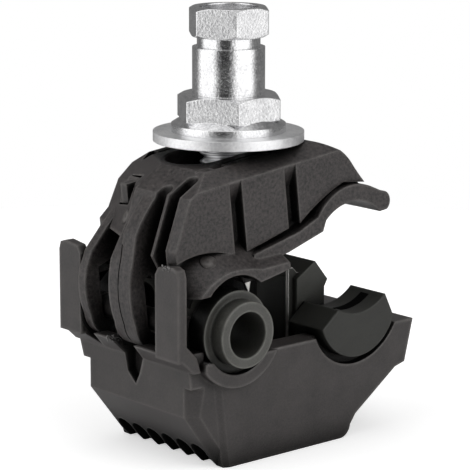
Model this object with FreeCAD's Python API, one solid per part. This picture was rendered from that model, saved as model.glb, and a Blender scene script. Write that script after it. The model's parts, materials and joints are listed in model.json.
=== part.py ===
import FreeCAD, Part
import math
import os
from FreeCAD import Vector

# Insulation piercing connector, photographed part open. Millimetres.
# X runs from the tap cable to the main cable, Y along both cables, Z up the clamp bolt.
# The origin is where the bolt axis meets the base.

# Cable grooves
main_x = 12.8
main_z = 19.3
main_gasket_r = 7.2
tap_x = -9.4
tap_z = 19.2
tap_bore_r = 3.15
tap_tube_r = 4.5
tap_collar_r = 5.6

# Lower body
half_depth = 12.5
depth_draft = 1.3
base_left = -10.1
base_right = 11.2
foot_bevel = 1.3
deck_z = 15.7
flank_z = 8.1
flank_top_z = 12.2
flank_x = -16.5
flare_z = 17.2
lip_x = 24.0
lip_height = 6.3
toe_radius = 1.8
corner_run = 2.4
corner_depth = 1.5
panel_left = -12.6
panel_lean = 2.3
panel_proud = 0.5
panel_bevel = 1.0
boss_wall = 1.8
boss_proud = 0.9
boss_left = -15.3
cradle_gap = 0.1
cradle_relief = 1.2
relief_depth = 1.6
post_x = -19.6
post_wall = 1.4
post_width = 4.8
post_proud = 0.4
post_top_z = 29.2
well_wall = 3.7
well_left = -13.2
well_floor_z = 5.0
flute_radius = 1.4
flute_depth = 1.1
flute_z = 2.1
flute_pitch = 3.2
flute_count = 6

# Jaw hinge and its hooked arms
hinge_x = -15.4
hinge_z = 20.0
hinge_bar_r = 1.5
hinge_gap = 0.3
cheek_wall = 1.4
open_angle = 6.5
arm_thickness = 2.1
arm_bow = 0.5
elbow_x = -17.8
elbow_drop = 7.1
arm_room = 0.4
rear_arm_width = 1.5
rear_arm_y = half_depth + post_proud - post_width - hinge_gap - rear_arm_width
middle_arm_y = 1.0
middle_arm_width = 2.0
front_arm_width = 2.6

# Upper jaw, in its own level position. Drops are measured down from its top.
jaw_top_z = 39.6
web_inset = 3.7
slab_proud = 1.7
rim_proud = 2.5
rim_height = 2.3
top_bevel = 2.6
top_bevel_drop = 1.6
brow_x = -8.7
brow_drop = 2.2
brow_run = 4.1
brow_end_x = -13.6
shoulder_x = -17.3
shoulder_drop = 9.6
belly_x = -4.2
belly_drop = 13.8
web_drop = 2.6
chin_x = 2.0
chin_drop = 13.2
throat_x = 8.5
throat_drop = 11.9
jaw_groove_x = 13.6
jaw_groove_drop = 9.0
crest_x = 10.6
cheek_x = 15.2
cheek_drop = 3.5
nose_x = 18.0
nose_drop = 7.7
beak_x = 21.5
beak_drop = 10.3
beak_low_drop = 11.7
groove_width = 2.1
first_groove_x = -6.8
second_groove_x = 3.0
shoulder_fall = 2.8
hood_reach = 0.5
hood_wall = 1.0
hood_clearance = 0.5
hood_right_x = 0.6
roof_thickness = 4.6
web_wall = 2.2
slot_half_width = 4.6
slot_left = -7.8
slot_right = 7.4
first_pocket_x = -11.9
second_pocket_x = -9.6
pocket_rib = 0.5
front_wall = 2.1

# Clamp bolt, washer and shear nut
bolt_r = 4.0
head_gap = 0.15
bolt_head_flats = 13.0
bolt_head_height = 5.3
bolt_floor_z = 1.5
washer_r = 10.43
washer_z = 42.5
washer_thickness = 1.31
nut_flats = 13.0
nut_flange_r = 7.9
nut_flange_height = 1.9
nut_hex_height = 3.25
collar_r = 5.0
neck_r = 4.35
neck_height = 1.4
drive_flats = 10.0
drive_height = 4.1
nut_height = 17.1
thread_gap = 0.05
bolt_end_gap = 7.0

# Gaskets, boot and contact blades
gasket_gap = 0.3
gasket_proud = 0.5
gasket_corner_drop = 2.4
gasket_left_horn = 3.8
gasket_right_horn = 5.1
gasket_horn_rise = 1.0
gasket_hollow = 0.95
boot_cover = 0.95
boot_left = 7.8
boot_right = 13.6
boot_ridge_x = 11.2
boot_ridge_z = 24.7
boot_shoulder_z = 22.6
blade_thickness = 0.5
blade_gap = 0.05
blade_proud = 0.8
blade_top_z = 24.1
bar_height = 4.0
bolt_clearance = 0.25
upper_blade_inset = 5.2
tooth_pitch = 2.4
tooth_height = 1.0

# Tap sleeve and end cap
sleeve_proud = 2.5
sleeve_length = 8.6
collar_proud = 0.1
collar_length = 3.0
cap_inset = 0.5
cap_length = 3.7
cap_wall = 1.5
cap_round = 1.2

# The insert whose lug snaps into the window in the jaw's shoulder
window_x = -11.9
window_drop = 3.4
window_y = 4.5
window_width = 3.6
window_length = 4.4
window_lean = 57.0
lug_width = 1.4
lug_length = 3.4
lug_proud = 1.0
lug_drop = 2.3
insert_gap = 0.25
insert_thickness = 2.4

reach = 60.0


def block(x0, x1, y0, y1, z0, z1):
    return Part.makeBox(x1 - x0, y1 - y0, z1 - z0, Vector(x0, y0, z0))


def outline(start, *steps):
    """A closed outline in the XZ plane. A step is a point, or an arc's middle and end."""
    edges = []
    last = start
    for step in steps + (start,):
        if isinstance(step[0], tuple):
            middle, end = step
            arc = Part.Arc(Vector(last[0], 0, last[1]), Vector(middle[0], 0, middle[1]), Vector(end[0], 0, end[1]))
            edges.append(arc.toShape())
        else:
            end = step
            if math.dist(last, end) > 1e-6:
                edges.append(Part.makeLine(Vector(last[0], 0, last[1]), Vector(end[0], 0, end[1])))
        last = end
    return Part.Face(Part.Wire(edges))


def along_y(face, low, high):
    lifted = face.translated(Vector(0, low, 0))
    return lifted.extrude(Vector(0, high - low, 0))


def across(points, x0, x1):
    """A prism with corners (y, z), running along X."""
    corners = [Vector(x0, y, z) for y, z in points]
    face = Part.Face(Part.makePolygon(corners + corners[:1]))
    return face.extrude(Vector(x1 - x0, 0, 0))


def rod_y(radius, x, z, low, high):
    return Part.makeCylinder(radius, high - low, Vector(x, low, z), Vector(0, 1, 0))


def rod_z(radius, low, high):
    return Part.makeCylinder(radius, high - low, Vector(0, 0, low))


def hexagon(flats, low, high):
    corner = flats / math.sqrt(3)
    points = []
    for turn in range(7):
        angle = math.radians(60 * turn)
        points.append(Vector(corner * math.cos(angle), corner * math.sin(angle), low))
    return Part.Face(Part.makePolygon(points)).extrude(Vector(0, 0, high - low))


def chamfered_hexagon(flats, low, high, bottom, top):
    """A hexagon whose corners are turned down to a cone at the ends asked for."""
    solid = hexagon(flats, low, high)
    corner = flats / math.sqrt(3)
    drop = (corner - flats / 2) * 0.6
    turned = rod_z(corner + 0.01, low, high)
    if top:
        cone = Part.makeCone(corner, flats / 2, drop, Vector(0, 0, high - drop))
        turned = turned.cut(rod_z(corner + 1, high - drop, high + 1)).fuse(cone)
    if bottom:
        cone = Part.makeCone(flats / 2, corner, drop, Vector(0, 0, low))
        turned = turned.cut(rod_z(corner + 1, low - 1, low + drop)).fuse(cone)
    return solid.common(turned)


def mirrored(shape):
    return shape.mirror(Vector(0, 0, 0), Vector(0, 1, 0))


def both_ends(shape):
    return [shape, mirrored(shape)]


def fused(shapes):
    joined = shapes[0].multiFuse(shapes[1:])
    return joined.removeSplitter()


def trimmed(shape, cutters):
    return shape.cut(Part.makeCompound(cutters)) if len(cutters) == 1 else shape.cut(fused(cutters))


def opened(shape):
    """Swings a shape made in the level position to the angle at which the connector stands open."""
    turned = shape.copy()
    turned.rotate(Vector(hinge_x, 0, hinge_z), Vector(0, 1, 0), -open_angle)
    return turned


def on_circle(x, z, radius, degrees):
    angle = math.radians(degrees)
    return (x + radius * math.cos(angle), z + radius * math.sin(angle))


# Lower body


def half_depth_at(z):
    """Half depth of the drafted body at a height."""
    return half_depth - depth_draft * (1 - z / deck_z)


def drafted(inset):
    """The space between the body's two drafted ends, each brought in by an inset."""
    low = half_depth_at(0) - inset
    high = half_depth_at(2 * deck_z) - inset
    return across([(-low, 0), (low, 0), (high, 2 * deck_z), (-high, 2 * deck_z)], -reach, reach)


def body_outline():
    """Side outline: sloping left flank that flares out under the posts, and the lip on the right."""
    lip_z = deck_z - lip_height
    toe = (base_right + toe_radius, toe_radius)
    face = outline(
        (base_left, 0),
        (base_right, 0),
        (on_circle(base_right, toe_radius, toe_radius, -45), toe),
        (toe[0] + toe_radius / 2, toe[1] + toe_radius * 0.8),
        (lip_x - lip_height * 0.45, lip_z - lip_height * 0.08),
        (lip_x - lip_height * 0.16, lip_z),
        (lip_x, deck_z),
        (well_left - cheek_wall, deck_z),
        (well_left - cheek_wall, flare_z),
        (post_x, flare_z),
        (flank_x - (flank_x - post_x) * 0.15, (flank_top_z + flare_z) / 2),
        (flank_x, flank_top_z),
        (flank_x, flank_z),
        (base_left - foot_bevel, foot_bevel),
    )
    return face


def corner_cut(side):
    """What a bevelled upright corner of the left flank loses, along the flank's slope."""
    y = half_depth_at(flank_top_z) - panel_proud
    corners = [(flank_x, y - corner_depth), (flank_x + corner_run, y), (flank_x, y + reach), (flank_x - reach, y - corner_depth)]
    points = [Vector(px, side * py, 0) for px, py in corners]
    face = Part.Face(Part.makePolygon(points + points[:1]))
    lean = (base_left - foot_bevel - flank_x) / (flank_z - foot_bevel)
    upper = face.translated(Vector(0, 0, flank_z)).extrude(Vector(0, 0, flank_top_z - flank_z))
    lower = face.translated(Vector(0, 0, flank_z)).extrude(Vector(flank_z * lean, -side * flank_z / deck_z, -flank_z))
    return upper.fuse(lower)


def panel_room(side):
    """The space that a raised panel fills: its leaning left edge is bevelled."""
    front = half_depth_at(0)
    left = panel_left + panel_lean
    corners = [(left, 0), (left, front - panel_proud), (left + panel_bevel, front), (left + panel_bevel, reach), (reach, reach), (reach, 0)]
    points = [Vector(px, side * py, 0) for px, py in corners]
    face = Part.Face(Part.makePolygon(points + points[:1]))
    return face.extrude(Vector(-panel_lean * deck_z / flank_top_z, side * depth_draft, deck_z))


def body_block():
    """The drafted outer form, its bevelled left corners and the raised panel on each end."""
    prism = along_y(body_outline(), -reach, reach)
    block_form = prism.common(drafted(panel_proud))
    block_form = trimmed(block_form, [corner_cut(-1), corner_cut(1)])
    panels = prism.common(drafted(0))
    return fused([block_form] + [panels.common(panel_room(side)) for side in (-1, 1)])


def post():
    """A thin guide post at a corner of the body, on a gusset that runs into the flared flank."""
    outer = half_depth + post_proud
    inner = outer - post_width
    nip = post_wall / 2
    corners = [
        (inner, flare_z - nip),
        (outer, flare_z - nip),
        (outer, post_top_z - 2 * nip),
        (outer - nip / 2, post_top_z - nip / 2),
        (outer - 2 * nip, post_top_z),
        (inner + nip, post_top_z - nip / 2),
        (inner, post_top_z - 2 * nip),
    ]
    upright = across(corners, post_x, post_x + post_wall)
    foot_z = (flank_top_z + flare_z) / 2
    gusset_face = outline(
        (post_x, flare_z + post_wall),
        (post_x, flare_z),
        (flank_x - (flank_x - post_x) * 0.15, foot_z),
        (flank_x + post_wall / 2, foot_z),
        (flank_x, flare_z - post_wall / 4),
        (post_x + post_wall, flare_z + post_wall),
    )
    gusset = along_y(gusset_face, inner, outer)
    return fused([upright, gusset])


def hinge_seat():
    """The bar that the jaw's arms hook under, on a cheek at each end."""
    inner = half_depth + post_proud - post_width
    bar = rod_y(hinge_bar_r, hinge_x, hinge_z, -inner - cheek_wall, inner + cheek_wall)
    cheek_r = hinge_bar_r + hinge_gap
    face = outline(
        (hinge_x - cheek_r, flare_z - cheek_wall),
        (hinge_x + cheek_r, flare_z - cheek_wall),
        (hinge_x + cheek_r, hinge_z),
        ((hinge_x, hinge_z + cheek_r), (hinge_x - cheek_r, hinge_z)),
    )
    cheek = along_y(face, -inner - cheek_wall, -inner)
    seat = fused([bar] + both_ends(cheek))
    return trimmed(seat, both_ends(rod_y(tap_collar_r + cradle_gap, tap_x, tap_z, inner, reach)))


def front_boss():
    """The half-round band that stands out of the wall below the tap sleeve."""
    outer = half_depth + boss_proud
    band = rod_y(tap_collar_r + boss_wall + cradle_gap, tap_x, tap_z, -outer, outer)
    return band.common(block(boss_left, reach, -reach, reach, 0, deck_z + cradle_gap))


def arm_rooms():
    """Room in the flank for each hooked arm, round the hinge bar."""
    inner = half_depth + post_proud - post_width - cradle_gap / 2
    radius = hinge_bar_r + hinge_gap + arm_thickness + arm_room
    front = middle_arm_y - middle_arm_width - front_arm_width
    rooms = []
    for low, high in ((front, middle_arm_y), (rear_arm_y, rear_arm_y + rear_arm_width)):
        rooms.append(rod_y(radius, hinge_x, hinge_z, low - arm_room, high + arm_room))
    rooms.append(block(-reach, well_left, -inner, inner, flare_z, reach))
    rooms.append(block(hinge_x - hinge_bar_r - hinge_gap, well_left, -inner, inner, flare_z - cheek_wall, reach))
    rooms.append(block(well_left - cheek_wall - hinge_gap, well_left, front - arm_room, inner, deck_z, reach))
    return rooms


def flank_pockets():
    """V-bottomed pockets in the flank under the arms."""
    front = middle_arm_y - middle_arm_width - front_arm_width
    back = half_depth + post_proud - post_width
    wide = rear_arm_width
    tip = flank_top_z - wide
    front_v = [(front - arm_room, flare_z + 1), (middle_arm_y + wide / 2, flare_z + 1), (middle_arm_y + wide / 2, flank_top_z), (0, tip)]
    back_v = [(rear_arm_y - wide, flare_z + 1), (back, flare_z + 1), (back, flare_z - wide / 2), (rear_arm_y, flare_z - wide * 1.4)]
    return [across(corners, -reach, flank_x + post_wall) for corners in (front_v, back_v)]


def flutes():
    """Shallow round grips along the foot of the left flank."""
    slope = Vector(flank_x - base_left + foot_bevel, 0, flank_z - foot_bevel).normalize()
    inward = Vector(slope.z, 0, -slope.x)
    foot = Vector(base_left - foot_bevel, 0, foot_bevel)
    centre = foot + slope * ((flute_z - foot_bevel) / slope.z)
    first = -flute_pitch * (flute_count - 1) / 2
    cuts = []
    for number in range(flute_count):
        place = centre + Vector(0, first + number * flute_pitch, 0) - inward * flute_depth
        cuts.append(Part.makeCylinder(flute_radius, 2 * flute_depth, place, inward))
        tail = block(0, 2 * flute_depth, -flute_radius, flute_radius, -flute_z * 2, 0)
        tail.rotate(Vector(0, 0, 0), Vector(0, 1, 0), -math.degrees(math.atan2(inward.z, inward.x)))
        tail.translate(place)
        cuts.append(tail)
    return cuts


def lower_body():
    body = fused([body_block(), front_boss()] + both_ends(post()))
    # Main cradle, with a relieved ring at each mouth
    cuts = [rod_y(main_gasket_r + cradle_gap, main_x, main_z, -reach, reach)]
    cuts += both_ends(rod_y(main_gasket_r + cradle_relief, main_x, main_z, half_depth - relief_depth, reach))
    # Tap cradle
    cuts.append(rod_y(tap_collar_r + cradle_gap, tap_x, tap_z, -reach, reach))
    # Well round the bolt and the blades, and the pocket in its floor for the bolt's head
    well_half = half_depth - well_wall
    cuts.append(block(well_left, boot_right + boss_wall, -well_half, well_half, well_floor_z, reach))
    cuts.append(hexagon(bolt_head_flats + 2 * head_gap, bolt_floor_z, well_floor_z + 1))
    cuts += arm_rooms()
    body = trimmed(body, cuts)
    body = fused([body, hinge_seat()])
    return trimmed(body, flank_pockets() + flutes())


# Clamp bolt, washer and nut


def clamp_bolt():
    """A bolt held by its head in the floor of the well; its end stands inside the nut."""
    head = chamfered_hexagon(bolt_head_flats, bolt_floor_z, bolt_floor_z + bolt_head_height, False, True)
    end_z = washer_z + nut_height - bolt_end_gap
    shank = rod_z(bolt_r, bolt_floor_z, end_z - 0.8)
    point = Part.makeCone(bolt_r, bolt_r - 0.8, 0.8, Vector(0, 0, end_z - 0.8))
    return fused([head, shank, point])


def flat_washer():
    ring = rod_z(washer_r, washer_z, washer_z + washer_thickness)
    return ring.cut(rod_z(bolt_r + 0.3, washer_z - 1, washer_z + 5))


def shear_nut():
    """A flanged hexagon, a waisted neck that shears, and the smaller driving hexagon."""
    seat = washer_z + washer_thickness
    flange_top = seat + nut_flange_height
    hex_top = flange_top + nut_hex_height
    top = seat + nut_height
    drive_low = top - drive_height
    flange = rod_z(nut_flange_r, seat, seat + nut_flange_height * 0.55)
    cone = Part.makeCone(nut_flange_r, nut_flats / 2, nut_flange_height * 0.45, Vector(0, 0, seat + nut_flange_height * 0.55))
    lower = chamfered_hexagon(nut_flats, flange_top - 0.2, hex_top, False, True)
    collar = rod_z(collar_r, hex_top, drive_low - neck_height)
    neck = rod_z(neck_r, drive_low - neck_height, drive_low)
    drive = chamfered_hexagon(drive_flats, drive_low, top, True, True)
    nut = fused([flange, cone, lower, collar, neck, drive])
    bore = rod_z(bolt_r + thread_gap, seat - 1, top + 1)
    mouth = Part.makeCone(bolt_r - 0.6, bolt_r + 0.45, 1.05, Vector(0, 0, top - 0.75))
    return nut.cut(fused([bore, mouth]))


# Main gaskets, boot and lower blades


def lower_blade_y():
    """Inner face of a lower blade, which passes beside the bolt."""
    return bolt_r + bolt_clearance


def boot_half():
    return lower_blade_y() + blade_thickness + boot_cover


def main_gasket():
    """A D-shaped rubber bed with a hollowed top for the main cable."""
    half_corner = math.sqrt(main_gasket_r ** 2 - gasket_corner_drop ** 2)
    corner_z = main_z - gasket_corner_drop
    face = outline(
        (main_x - half_corner, corner_z),
        ((main_x, main_z - main_gasket_r), (main_x + half_corner, corner_z)),
        (main_x + gasket_right_horn, main_z + gasket_horn_rise),
        ((main_x + gasket_horn_rise / 2, main_z - gasket_hollow), (main_x - gasket_left_horn, main_z)),
    )
    front = half_depth + gasket_proud
    back = boot_half() + gasket_gap
    bed = along_y(face, -front, -back)
    middle = -(front + back) / 2
    slit_half = gasket_left_horn * 0.7
    slit = block(main_x - slit_half, main_x + slit_half, middle, middle + blade_thickness + blade_gap, main_z - slit_half, reach)
    return bed.cut(slit)


def boot_face():
    foot_z = well_floor_z
    return outline(
        (boot_left, foot_z),
        (boot_right - 0.6, foot_z),
        (boot_right - 0.6, boot_shoulder_z - 1.8),
        (boot_right, boot_shoulder_z - 0.8),
        (boot_ridge_x, boot_ridge_z),
        (boot_left, boot_shoulder_z),
    )


def lower_blade_face(grow):
    """Bridges the two cables under the bolt, with a tall leg in the boot."""
    bar_top = tap_z - tap_collar_r - blade_proud + grow
    bar_low = bar_top - bar_height - 2 * grow
    left = tap_x - tap_bore_r - grow
    leg_left = boot_left - blade_proud - grow
    leg_right = boot_right - blade_proud * 2 + grow
    return outline(
        (left, bar_low),
        (leg_right, bar_low),
        (leg_right, boot_shoulder_z - blade_proud + grow),
        (boot_ridge_x, boot_shoulder_z + grow),
        (boot_left + blade_proud, blade_top_z - blade_proud + grow),
        (boot_left, blade_top_z + grow),
        (leg_left, blade_top_z + grow),
        (leg_left, bar_top),
        (left, bar_top),
    )


def lower_blade():
    inner = lower_blade_y()
    return along_y(lower_blade_face(0), -inner - blade_thickness, -inner)


def contact_boot():
    """Rubber that wraps the tall legs of both lower blades."""
    inner = lower_blade_y()
    boot = along_y(boot_face(), -boot_half(), boot_half())
    slit = along_y(lower_blade_face(blade_gap), -inner - blade_thickness - blade_gap, -inner + blade_gap)
    return boot.cut(fused(both_ends(slit)))


# Tap sleeve and end cap


def tap_sleeve():
    """Collared guide tube for the tap cable."""
    front = half_depth + sleeve_proud
    collar_front = half_depth + collar_proud
    tube = rod_y(tap_tube_r, tap_x, tap_z, -front, sleeve_length - front)
    collar = rod_y(tap_collar_r, tap_x, tap_z, -collar_front, collar_length - collar_front)
    bore = rod_y(tap_bore_r, tap_x, tap_z, -reach, 0)
    return fused([tube, collar]).cut(bore)


def tap_end_cap():
    """Closed cup that covers the cut end of the tap cable."""
    back = half_depth - cap_inset
    cup = rod_y(tap_collar_r, tap_x, tap_z, back - cap_length, back)
    cup = cup.makeFillet(cap_round, [edge for edge in cup.Edges if abs(edge.CenterOfMass.y - back) < 0.01])
    return cup.cut(rod_y(tap_bore_r, tap_x, tap_z, 0, back - cap_wall))


# Upper jaw


def down(x, drop):
    """A point of the jaw's side outline, given by its drop below the top."""
    return (x, jaw_top_z - drop)


def crest_steps():
    """The jaw's top edge from the crest to the nose."""
    mid_x = (crest_x + cheek_x) / 2
    low_x = (cheek_x + nose_x) / 2
    return [
        down(crest_x, 0),
        (down(mid_x + 0.3, cheek_drop * 0.4), down(cheek_x, cheek_drop)),
        (down(low_x + 0.3, (cheek_drop + nose_drop) / 2), down(nose_x, nose_drop)),
    ]


def jaw_core_face():
    """Side outline of the jaw's web, from the shoulder over the beak to the groove and the belly."""
    bevel = (beak_low_drop - beak_drop) / 2
    return outline(
        down(brow_end_x, brow_drop),
        down(brow_x, 0),
        *crest_steps(),
        down(beak_x - 2 * bevel, beak_drop - 2 * bevel),
        (down(beak_x, beak_drop), down(beak_x - bevel, beak_low_drop)),
        down(beak_x - 3 * bevel, beak_low_drop),
        (down(jaw_groove_x, jaw_groove_drop), down(throat_x + bevel, throat_drop - 2 * bevel)),
        down(throat_x, throat_drop),
        down((chin_x + throat_x) / 2, (chin_drop + throat_drop) / 2),
        down(chin_x, chin_drop),
        down(belly_x + web_drop, belly_drop + web_drop),
        down(belly_x, belly_drop + web_drop),
        down(shoulder_x + slab_proud, belly_drop),
        down(shoulder_x, shoulder_drop),
    )


def jaw_section(shape, grow):
    """Trims a jaw shape to its cross-section, with bevelled top edges."""
    half = half_depth - web_inset + grow
    top = jaw_top_z
    section = across(
        [
            (-half, top - 2 * belly_drop),
            (half, top - 2 * belly_drop),
            (half, top - top_bevel_drop),
            (half - top_bevel, top),
            (-half + top_bevel, top),
            (-half, top - top_bevel_drop),
        ],
        -reach,
        reach,
    )
    return shape.common(section)


def slab_faces():
    """Three raised panels on the jaw's side, divided by two upright grooves."""
    first = outline(
        down(brow_end_x, brow_drop),
        down(brow_x, 0),
        down(first_groove_x, 0),
        down(first_groove_x, throat_drop - 0.3),
        (down((shoulder_x + first_groove_x) / 2, shoulder_drop + 0.3), down(shoulder_x, shoulder_drop + 0.8)),
        down(shoulder_x, shoulder_drop),
    )
    left = first_groove_x + groove_width
    second = outline(
        down(left, 0),
        down(second_groove_x, 0),
        down(second_groove_x, shoulder_drop + 0.6),
        (down((left + second_groove_x) / 2, shoulder_drop + 1.3), down(left, throat_drop - 0.4)),
    )
    left = second_groove_x + groove_width
    crest = crest_steps()
    third = outline(
        down(left, 0),
        *crest[:2],
        (down(nose_x - 1.4, nose_drop - 2.0), down(nose_x - 0.4, nose_drop - 0.6)),
        down(jaw_groove_x, nose_drop - 1.5),
        (down((left + jaw_groove_x) / 2, nose_drop), down(left, shoulder_drop + 0.4)),
    )
    return [first, second, third]


def groove_heads():
    """The sloping upper ends of the two grooves, which close below the bevel."""
    inner = half_depth - web_inset
    outer = inner + slab_proud
    top = jaw_top_z
    low = top - top_bevel_drop
    corners = [(-outer, low), (-inner, low - 2 * slab_proud), (-inner + 1, low - 2 * slab_proud), (-inner + 1, top), (-outer + top_bevel, top)]
    heads = [across(corners, x, x + groove_width) for x in (first_groove_x, second_groove_x)]
    return Part.makeCompound(heads)


def rim_face():
    """The thick border along the lower edge of the jaw, from the belly to the beak."""
    bevel = (beak_low_drop - beak_drop) / 2
    return outline(
        down(belly_x, belly_drop),
        down(chin_x, chin_drop),
        down((chin_x + throat_x) / 2, (chin_drop + throat_drop) / 2),
        down(throat_x, throat_drop),
        down(throat_x + bevel, throat_drop - 2 * bevel),
        (down(jaw_groove_x, jaw_groove_drop), down(beak_x - 3 * bevel, beak_low_drop)),
        down(beak_x - bevel, beak_low_drop),
        (down(beak_x, beak_drop), down(beak_x - 2 * bevel, beak_drop - 2 * bevel)),
        down(nose_x, nose_drop),
        (down(jaw_groove_x, jaw_groove_drop - rim_height), down(throat_x - bevel, jaw_groove_drop + bevel)),
        down((chin_x + throat_x) / 2 - rim_height / 2, chin_drop - rim_height),
        down(belly_x, belly_drop - rim_height * 0.8),
    )


def hood_face(radius, left_low, y):
    """One end of the hood over the tap sleeve: an arched top that runs out flat to the right."""
    low = tap_z + hood_lift()
    left = tap_x - radius * 0.88
    top = low + radius
    face = outline(
        (left, low + left_low),
        ((tap_x - radius * 0.5, low + radius * 0.9), (tap_x - radius * 0.05, top)),
        ((tap_x + radius * 0.45, low + radius * 0.94), (tap_x + radius * 0.76, low + radius * 0.85)),
        (hood_right_x, low + radius * 0.81),
        (hood_right_x, low + tap_collar_r * 0.81),
        (tap_x + tap_collar_r * 0.8, low + tap_collar_r * 0.72),
        (tap_x, low + left_low * 0.9),
    )
    return face.translated(Vector(0, y, 0))


def hood_lift():
    """How far the open jaw's hood stands above the tap sleeve, in the jaw's level frame."""
    return hood_clearance * 2


def hood():
    """The hood flares from a thin front edge up to the jaw's side."""
    front = -half_depth - hood_reach
    back = -half_depth + web_inset
    inner = tap_collar_r + hood_clearance
    thin = hood_face(inner + hood_wall * 0.6, tap_tube_r, front)
    thick = hood_face(inner + hood_wall + web_inset * 0.7, tap_tube_r, back)
    return Part.makeLoft([thin.OuterWire, thick.OuterWire], True, True)


def hook_steps():
    """The lower half of a hooked arm: round the bar and in under it, then back up its inner side."""
    inner = hinge_bar_r + hinge_gap
    outer = inner + arm_thickness
    return [
        ((hinge_x - outer - arm_bow, hinge_z + outer), (hinge_x - outer, hinge_z)),
        (on_circle(hinge_x, hinge_z, outer, 215), on_circle(hinge_x, hinge_z, outer, 262)),
        on_circle(hinge_x, hinge_z, inner, 262),
        (on_circle(hinge_x, hinge_z, inner, 215), (hinge_x - inner, hinge_z)),
        (hinge_x - inner, hinge_z + 3 * arm_thickness),
    ]


def front_arm_face():
    """The front arm stands out of the shoulder down to its elbow."""
    outer = hinge_bar_r + hinge_gap + arm_thickness
    return outline(
        down(brow_end_x + 1, brow_drop - 0.4),
        (down(brow_end_x - 1.8, brow_drop + 2), down(elbow_x, elbow_drop)),
        (hinge_x - outer + arm_bow, hinge_z + 2.3 * outer),
        *hook_steps(),
        (brow_end_x + 1, hinge_z + 3.5 * arm_thickness),
    )


def middle_arm_face():
    """The middle arm lies flush with the shoulder before it carries on down beside the front arm."""
    outer = hinge_bar_r + hinge_gap + arm_thickness
    return outline(
        down(brow_end_x, brow_drop + 1.4),
        down(elbow_x + 0.4, shoulder_drop - 0.9),
        (hinge_x - outer + arm_bow, hinge_z + 2.3 * outer),
        *hook_steps(),
        (brow_end_x, hinge_z + 3.5 * arm_thickness),
    )


def rear_arm_face():
    """The rear arm carries on down from the lower part of the shoulder."""
    outer = hinge_bar_r + hinge_gap + arm_thickness
    return outline(
        down(brow_end_x + 1, elbow_drop - 1),
        down(shoulder_x + arm_thickness, shoulder_drop - 1.3),
        down(shoulder_x - 0.7, shoulder_drop + 1.2),
        (hinge_x - outer, hinge_z + 1.65 * outer),
        *hook_steps(),
        (brow_end_x + 1, hinge_z + 3.5 * arm_thickness),
    )


def jaw_arms():
    front = middle_arm_y - middle_arm_width
    arms = [along_y(rear_arm_face(), rear_arm_y, rear_arm_y + rear_arm_width)]
    arms.append(along_y(middle_arm_face(), front, middle_arm_y))
    arms.append(along_y(front_arm_face(), front - front_arm_width, front))
    return arms


def shoulder_cut():
    """What the shoulder loses towards the rear, where it falls away."""
    y0 = middle_arm_y
    y1 = half_depth - web_inset + slab_proud
    share = shoulder_fall / 2.8
    near = [down(brow_x, -1), down(brow_x, 0), down(brow_x - brow_run, brow_drop * 0.8), down(brow_end_x, brow_drop * 1.4), down(shoulder_x, shoulder_drop), down(shoulder_x, belly_drop + 1)]
    far_points = [
        down(brow_x + 4.6 * share, -1),
        down(brow_x + 4.6 * share, 0),
        down(brow_x - 0.5 * share, brow_drop * 1.5),
        down(brow_end_x + 2.2 * share, brow_drop * 3.1),
        down(shoulder_x + 4.2 * share, shoulder_drop - 1.6 * share),
        down(shoulder_x + 4.2 * share, belly_drop + 1),
    ]
    wires = []
    for y, points in ((y0, near), (y1, far_points)):
        far_left = [(-reach, points[-1][1]), (-reach, points[0][1])]
        corners = [Vector(x, y, z) for x, z in points + far_left]
        wires.append(Part.makePolygon(corners + corners[:1]))
    return Part.makeLoft(wires, True, True)


def window_frame():
    """Place of the window in the sloping shoulder, and the turn that lays a block along it."""
    return Vector(window_x, window_y, jaw_top_z - window_drop), window_lean


def along_shoulder(x0, x1, half_width, half_length):
    """A block laid on the shoulder: X into its surface, Z up its slope."""
    solid = block(x0, x1, -half_width, half_width, -half_length, half_length)
    place, lean = window_frame()
    solid.rotate(Vector(0, 0, 0), Vector(0, 1, 0), 90 - lean)
    solid.translate(place)
    return solid


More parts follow.
